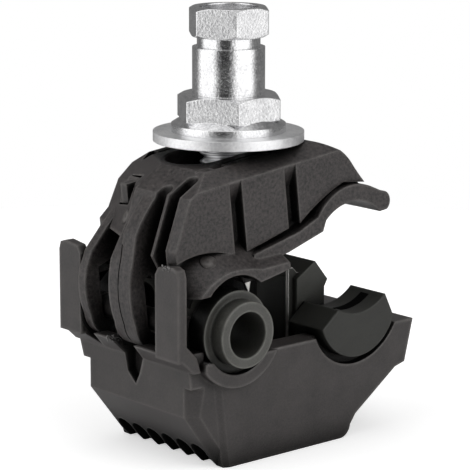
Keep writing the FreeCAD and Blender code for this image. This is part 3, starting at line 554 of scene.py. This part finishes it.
def makeBolt(sizes, threadTube):
    corner = sizes["headFlats"] / math.sqrt(3)
    points, faces = stacked([ringOf(6, corner, sizes["headLow"]), ringOf(6, corner, sizes["headHigh"])])
    shankPoints, shankFaces = stacked([
        ringOf(sizes["shankSides"], sizes["shankRadius"], sizes["headHigh"] - sizes["headOverlap"]),
        ringOf(sizes["shankSides"], sizes["shankRadius"], sizes["threadLow"]),
        ringOf(sizes["shankSides"], sizes["rootRadius"], sizes["threadLow"] + sizes["runOut"]),
        ringOf(sizes["shankSides"], sizes["rootRadius"] * sizes["endSwell"], sizes["end"]),
    ])
    faces += [tuple(index + len(points) for index in face) for face in shankFaces]
    points += shankPoints
    bolt = finishPiece("threadedBolt", points, faces, darkLowShank, "body")
    turns = (sizes["threadHigh"] - sizes["threadLow"]) / sizes["pitch"]
    thread = bakeNodes("boltThread", threadTube, {
        "Low Radius": sizes["rootRadius"], "High Radius": sizes["crestRadius"], "Pitch": sizes["pitch"],
        "Low": sizes["threadLow"], "Length": sizes["threadHigh"] - sizes["threadLow"],
        "Rows": int(turns * sizes["rowsPerTurn"]), "Sides": sizes["sides"] + 1,
    })
    ridePiece(thread, "body", True)
    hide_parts("clamp_bolt")


# Thread in the nut's top bore
boreSizes = {
    "crestRadius": 0.00352, "rootRadius": 0.00404, "threadLow": 0.0567, "threadHigh": 0.0599,
    "pitch": 0.00125, "rows": 30, "sides": 56,
}


def makeBore(sizes, threadTube):
    bore = bakeNodes("boreThread", threadTube, {
        "Low Radius": sizes["crestRadius"], "High Radius": sizes["rootRadius"], "Pitch": sizes["pitch"],
        "Low": sizes["threadLow"], "Length": sizes["threadHigh"] - sizes["threadLow"],
        "Rows": sizes["rows"], "Sides": sizes["sides"] + 1,
    })
    ridePiece(bore, "nut", True)
    bore.data.flip_normals()  # its faces look in, at the bolt


threadTube = makeThreadTube(darkLowShank)
makeBolt(boltSizes, threadTube)
makeBore(boreSizes, threadTube)
print("threads done")

# Sealing lips: one behind the end cap, one under the hood beside the hinge. Angles in degrees.
lipSizes = {
    "capLip": {
        "middle": (-0.0094, 0.0192), "radii": (0.0040, 0.00585), "angles": (25.0, 165.0),
        "reach": (0.01195, 0.0124), "body": "body", "steps": 20,
    },
    "hoodLip": {
        "middle": (-0.00946, 0.02088), "radii": (0.00495, 0.0063), "angles": (106.5, 162.5),
        "reach": (-0.00875, -0.0079), "body": "jaw", "steps": 20,
    },
}


def makeLip(name, sizes):
    low, high = (math.radians(angle) for angle in sizes["angles"])
    turns = [low + (high - low) * step / sizes["steps"] for step in range(sizes["steps"] + 1)]
    inner, outer = sizes["radii"]
    outline = [(outer, turn) for turn in turns] + [(inner, turn) for turn in reversed(turns)]
    middleX, middleZ = sizes["middle"]
    profile = [(middleX + radius * math.cos(turn), middleZ + radius * math.sin(turn)) for radius, turn in outline]
    points, faces = stacked([[(x, y, z) for x, z in profile] for y in sizes["reach"]])
    # The lips take the darker copy of the seal rubber: painted shade
    finishPiece(name, points, faces, plastics["shadedGasketRubber"], sizes["body"])


for name, sizes in lipSizes.items():
    makeLip(name, sizes)
print("lips done")

# Ejector pin marks: low rings laid on the surface that a ray from start along aim meets
markSizes = {
    "hoodMark": {"start": (-0.02053, -0.02000, 0.03159), "aim": (0.6285, 0.7464, -0.2186), "radius": 0.00105},
    "shoulderMark": {"start": (-0.0300, 0.0022, 0.0335), "aim": (1.0, 0.0, 0.0), "radius": 0.001},
}
# Each ring of a mark as a share of its radius and a height over the surface
markProfile = ((1.1, -0.0001), (1.1, 0.00002), (1.0, 0.0001), (0.88, 0.00002))
markSides = 32


def makeMark(name, surface, sizes):
    place, normal, index, distance = surface.ray_cast(Vector(sizes["start"]), Vector(sizes["aim"]))
    if place is None:
        print("no surface under", name)
        return
    turn = normal.to_track_quat("Z", "Y")
    points, faces = stacked([ringOf(markSides, sizes["radius"] * share, height) for share, height in markProfile])
    points = [place + turn @ Vector(point) for point in points]
    finishPiece(name, points, faces, plastics["coarseNylon"], "jaw", True)


jawSurface = surfaceOf("upper_jaw")
for name, sizes in markSizes.items():
    makeMark(name, jawSurface, sizes)

# Painted shade: dark strips on the line between two arms of the jaw, and in the slit of the front gasket
seamSizes = {
    "y": -0.001, "aside": -0.0001, "low": 0.0172, "high": 0.0306, "steps": 28,
    "width": 0.00014, "rise": 0.00003, "sink": 0.00009, "startX": -0.04, "lastX": -0.015,
}
slotSizes = {
    "y": -0.0095, "aside": -0.0006, "left": 0.0119, "right": 0.0173, "steps": 16,
    "width": 0.0016, "rise": 0.00004, "sink": 0.00012, "startZ": 0.04,
}


def spread(low, high, steps):
    return [low + (high - low) * step / steps for step in range(steps + 1)]


def makeStrip(name, sizes, places, body):
    across = Vector((0.0, sizes["width"] / 2, 0.0))
    rings = []
    for place, normal in places:
        place = Vector((max(place.x, sizeBefore[0][0] + sizes["rise"]), place.y, place.z))  # inside the solids' box
        under = place - normal * sizes["sink"]
        over = place + normal * sizes["rise"]
        rings.append([under + across, under - across, over - across, over + across])
    points, faces = stacked(rings)
    finishPiece(name, points, faces, paintedGapShade, body)


seamPlaces = []
for z in spread(seamSizes["low"], seamSizes["high"], seamSizes["steps"]):
    start = Vector((seamSizes["startX"], seamSizes["y"] + seamSizes["aside"], z))
    place, normal, index, distance = jawSurface.ray_cast(start, Vector((1.0, 0.0, 0.0)))
    if place is not None and place.x < seamSizes["lastX"]:
        seamPlaces.append((place, normal))
makeStrip("armSeam", seamSizes, seamPlaces, "jaw")

slotPlaces = []
gasketSurface = surfaceOf("main_gasket_front")
for x in spread(slotSizes["left"], slotSizes["right"], slotSizes["steps"]):
    start = Vector((x, slotSizes["y"] + slotSizes["aside"], slotSizes["startZ"]))
    place, normal, index, distance = gasketSurface.ray_cast(start, Vector((0.0, 0.0, -1.0)))
    if place is not None:
        slotPlaces.append((Vector((x, slotSizes["y"], place.z)), Vector((0.0, 0.0, 1.0))))
makeStrip("gasketSlot", slotSizes, slotPlaces, "body")
print("marks, seam and slot done")

# Gate scars: crumbs of torn plastic round the place that a ray from start along aim meets
scarSizes = {
    "postTopScar": {
        "start": (-0.02735, -0.02000, 0.03175), "aim": (0.6136, 0.7579, -0.2214),
        "spread": (0.0017, 0.0007), "count": 46, "seed": 3,
    },
    "flankTopScar": {
        "start": (-0.03528, -0.02000, 0.02430), "aim": (0.5915, 0.7663, -0.2510),
        "spread": (0.0032, 0.0011), "count": 80, "seed": 4,
    },
    "bossTipScar": {
        "start": (-0.02087, -0.02000, 0.01834), "aim": (0.6207, 0.7386, -0.2629),
        "spread": (0.0006, 0.0009), "count": 18, "seed": 5,
    },
}
crumbSizes = {"radius": 0.00012, "smallest": 0.4, "largest": 1.3}


def makeGateScar(material):
    number = "NodeSocketFloat"
    inputs = [("Width", number, 0.001), ("Length", number, 0.001), ("Density", number, 1.0e7)]
    inputs += [("Crumb", number, 0.00012), ("Seed", "NodeSocketInt", 3)]
    group, graph, start, result = groupWithInputs(
        "gateScar", inputs, [("Mesh", "NodeSocketGeometry")], "GeometryNodeTree",
    )
    given = start.outputs
    patch = graph.add("GeometryNodeMeshGrid")
    graph.put(patch, "Size X", given["Width"])
    graph.put(patch, "Size Y", given["Length"])
    scatter = graph.add("GeometryNodeDistributePointsOnFaces")
    graph.put(scatter, "Mesh", patch.outputs["Mesh"])
    graph.put(scatter, "Density", given["Density"])
    graph.put(scatter, "Seed", given["Seed"])
    crumb = graph.add("GeometryNodeMeshIcoSphere")
    graph.put(crumb, "Radius", given["Crumb"])
    scale = graph.add("FunctionNodeRandomValue", data_type="FLOAT")
    graph.put(scale, "Seed", given["Seed"])
    graph.put(scale, 2, crumbSizes["smallest"])
    graph.put(scale, 3, crumbSizes["largest"])
    copies = graph.add("GeometryNodeInstanceOnPoints")
    graph.put(copies, "Points", scatter.outputs["Points"])
    graph.put(copies, "Instance", crumb.outputs["Mesh"])
    graph.put(copies, "Scale", scale.outputs[1])
    paintTree(graph, result, copies.outputs["Instances"], material)
    return group


def makeScar(name, surface, gateScar, sizes):
    place, normal, index, distance = surface.ray_cast(Vector(sizes["start"]), Vector(sizes["aim"]))
    if place is None:
        print("no surface under", name)
        return
    width, length = sizes["spread"]
    crumbs = bakeNodes(name, gateScar, {
        "Width": width, "Length": length, "Density": sizes["count"] / (width * length),
        "Crumb": crumbSizes["radius"], "Seed": sizes["seed"],
    })
    turn = normal.to_track_quat("Z", "Y").to_matrix().to_4x4()
    crumbs.data.transform(Matrix.Translation(place) @ turn)
    ridePiece(crumbs, "body", True)


gateScar = makeGateScar(plastics["scarGrey"])
bodySurface = surfaceOf("lower_body")
for name, sizes in scarSizes.items():
    makeScar(name, bodySurface, gateScar, sizes)
print("scars done")

# Floor and the studio round it
stageSizes = {
    "floorRadius": 0.17, "floorSides": 96, "floorGlow": 0.5, "floorRoughness": 0.9, "floorSheen": 0.1,
    "floorPale": (0.92, 0.92, 0.92, 1.0), "floorWhite": (0.95, 0.95, 0.95, 1.0), "cloudScale": 3.0,
    "skyBase": 0.2, "skyDark": 0.16, "darkRange": (0.2, 0.9),
}
white = (1.0, 1.0, 1.0, 1.0)
# Soft boxes in degrees as seen from the object, azimuth 0 at the camera and positive to its right
softBoxes = {
    "leftBox": {
        "Azimuth": -72.0, "Half Width": 33.0,
        "Elevation": 14.0, "Half Height": 46.0, "Edge": 9.0, "Strength": 1.3,
    },
    "rightBox": {
        "Azimuth": 51.0, "Half Width": 34.0,
        "Elevation": 14.0, "Half Height": 46.0, "Edge": 9.0, "Strength": 1.36,
    },
    "topBox": {
        "Azimuth": 0.0, "Half Width": 200.0,
        "Elevation": 82.0, "Half Height": 20.0, "Edge": 12.0, "Strength": 0.9,
    },
}


def makeFloor(sizes):
    data = bpy.data.meshes.new("floor")
    turns = [math.tau * step / sizes["floorSides"] for step in range(sizes["floorSides"])]
    rim = [(sizes["floorRadius"] * math.cos(turn), sizes["floorRadius"] * math.sin(turn), 0.0) for turn in turns]
    data.from_pydata(rim, [], [range(len(rim))])
    floor = bpy.data.objects.new("floor", data)
    bpy.context.scene.collection.objects.link(floor)
    material, graph, shader = newMaterial("paperFloor")
    clouds = graph.noise(graph.add("ShaderNodeTexCoord").outputs["Object"], sizes["cloudScale"])
    graph.put(shader, "Base Color", graph.mix(clouds, sizes["floorPale"], sizes["floorWhite"]))
    graph.put(shader, "Roughness", sizes["floorRoughness"])
    graph.put(shader, "Specular IOR Level", sizes["floorSheen"])
    seen = graph.add("ShaderNodeLightPath")
    graph.put(shader, "Emission Color", white)
    glow = graph.remap(seen.outputs["Is Camera Ray"], 0.0, 1.0, 0.0, sizes["floorGlow"])
    graph.put(shader, "Emission Strength", glow)
    data.materials.append(material)
    return floor


def makeSoftBox():
    # Brightness of one soft box in a direction, fading out over its edge
    inputs = [("Direction", "NodeSocketVector", None)]
    inputs += [(name, "NodeSocketFloat", value) for name, value in softBoxes["leftBox"].items()]
    group, graph, given, result = groupWithInputs("softBox", inputs, [("Light", "NodeSocketFloat")])
    axes = graph.add("ShaderNodeSeparateXYZ")
    graph.put(axes, "Vector", given.outputs["Direction"])
    azimuth = graph.math("DEGREES", graph.math("ARCTAN2", axes.outputs["Y"], axes.outputs["X"]))
    elevation = graph.math("DEGREES", graph.math("ARCSINE", axes.outputs["Z"]))
    light = given.outputs["Strength"]
    for angle, centre, half in ((azimuth, "Azimuth", "Half Width"), (elevation, "Elevation", "Half Height")):
        away = graph.math("ABSOLUTE", graph.math("SUBTRACT", angle, given.outputs[centre]))
        inside = graph.math("SUBTRACT", given.outputs[half], away)
        share = graph.math("DIVIDE", inside, given.outputs["Edge"])
        light = graph.math("MULTIPLY", light, graph.remap(share, -1.0, 1.0, 0.0, 1.0))
    graph.put(result, "Light", light)
    return group


def makeSky(sizes, boxes, cameraAzimuth):
    # The camera sees white behind the object. The object is lit by soft boxes in a grey room
    # that is darker on the camera's side, which gives the nut its dark bands.
    world = bpy.data.worlds.new("studioSky")
    world.use_nodes = True
    bpy.context.scene.world = world
    graph = Graph(world.node_tree)
    world.node_tree.nodes.clear()
    turn = graph.add("ShaderNodeVectorRotate", rotation_type="Z_AXIS")
    graph.put(turn, "Vector", graph.add("ShaderNodeTexCoord").outputs["Generated"])
    graph.put(turn, "Angle", math.radians(90.0 + cameraAzimuth))
    direction = graph.add("ShaderNodeVectorMath", operation="NORMALIZE")
    graph.put(direction, 0, turn.outputs["Vector"])
    axes = graph.add("ShaderNodeSeparateXYZ")
    graph.put(axes, "Vector", direction.outputs["Vector"])
    darkest = sizes["skyBase"] - sizes["skyDark"]
    light = graph.remap(axes.outputs["X"], *sizes["darkRange"], sizes["skyBase"], darkest)
    softBox = makeSoftBox()
    for values in boxes.values():
        box = useGroup(graph, softBox, Direction=direction.outputs["Vector"])
        for name, value in values.items():
            graph.put(box, name, value)
        light = graph.math("ADD", light, box.outputs["Light"])
    soft = graph.add("ShaderNodeBackground")
    graph.put(soft, "Color", white)
    graph.put(soft, "Strength", light)
    backdrop = graph.add("ShaderNodeBackground")
    graph.put(backdrop, "Color", white)
    graph.put(backdrop, "Strength", 1.0)
    seen = graph.add("ShaderNodeLightPath")
    either = graph.add("ShaderNodeMixShader")
    graph.put(either, 0, seen.outputs["Is Camera Ray"])
    graph.put(either, 1, soft.outputs[0])
    graph.put(either, 2, backdrop.outputs[0])
    output = graph.add("ShaderNodeOutputWorld")
    graph.put(output, "Surface", either.outputs[0])


makeCamera(cameraSizes)
floor = makeFloor(stageSizes)
makeSky(stageSizes, softBoxes, cameraSizes["azimuth"])
bpy.context.scene.view_settings.view_transform = "Standard"
print("stage done")
